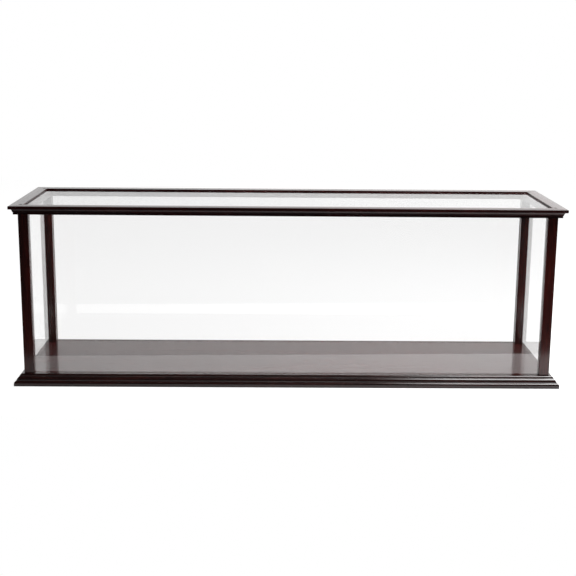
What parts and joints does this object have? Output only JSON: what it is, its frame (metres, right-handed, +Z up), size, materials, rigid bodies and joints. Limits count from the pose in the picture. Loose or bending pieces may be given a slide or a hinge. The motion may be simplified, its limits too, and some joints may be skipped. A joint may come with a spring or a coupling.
{
  "type": "model ship display case",
  "caption": "Long, low table-top display case: moulded dark wood base, square corner posts, clear panels standing in grooves, and a screwed-on crown-moulded lid frame with a clear top panel.",
  "frame": {"origin": "middle of the base's underside, on the surface that the case stands on", "axes": "+X along the case to the right as seen from the front, +Y from the front to the back, +Z up"},
  "size_m": [1.0498, 0.2818, 0.348],
  "materials": {
    "mahogany": "dark mahogany, gloss lacquer",
    "deck_veneer": "dark mahogany veneer, high gloss lacquer",
    "clear_acrylic": "clear acrylic sheet with polished faces",
    "bronzed_steel": "bronzed steel, satin",
    "beech": "plain beech"
  },
  "bodies": {
    "base": {"deck_board": "deck_veneer", "base_moulding_front": "mahogany", "base_moulding_back": "mahogany", "base_moulding_left": "mahogany", "base_moulding_right": "mahogany", "post_front_left": "mahogany", "post_front_right": "mahogany", "post_back_left": "mahogany", "post_back_right": "mahogany", "post_screws": "bronzed_steel", "front_panel": "clear_acrylic", "back_panel": "clear_acrylic", "left_panel": "clear_acrylic", "right_panel": "clear_acrylic"},
    "lid": {"lid_rail_front": "mahogany", "lid_rail_back": "mahogany", "lid_rail_left": "mahogany", "lid_rail_right": "mahogany", "mitre_keys": "beech", "lid_screws": "bronzed_steel"},
    "top_panel": {"top_panel": "clear_acrylic"}
  },
  "joints": [
    {"name": "lid_lift", "type": "slide", "parent": "base", "child": "lid", "axis": [0, 0, 1], "range_m": [0, 0.3]},
    {"name": "top_panel_lift", "type": "slide", "parent": "lid", "child": "top_panel", "axis": [0, 0, 1], "range_m": [0, 0.12]}
  ]
}
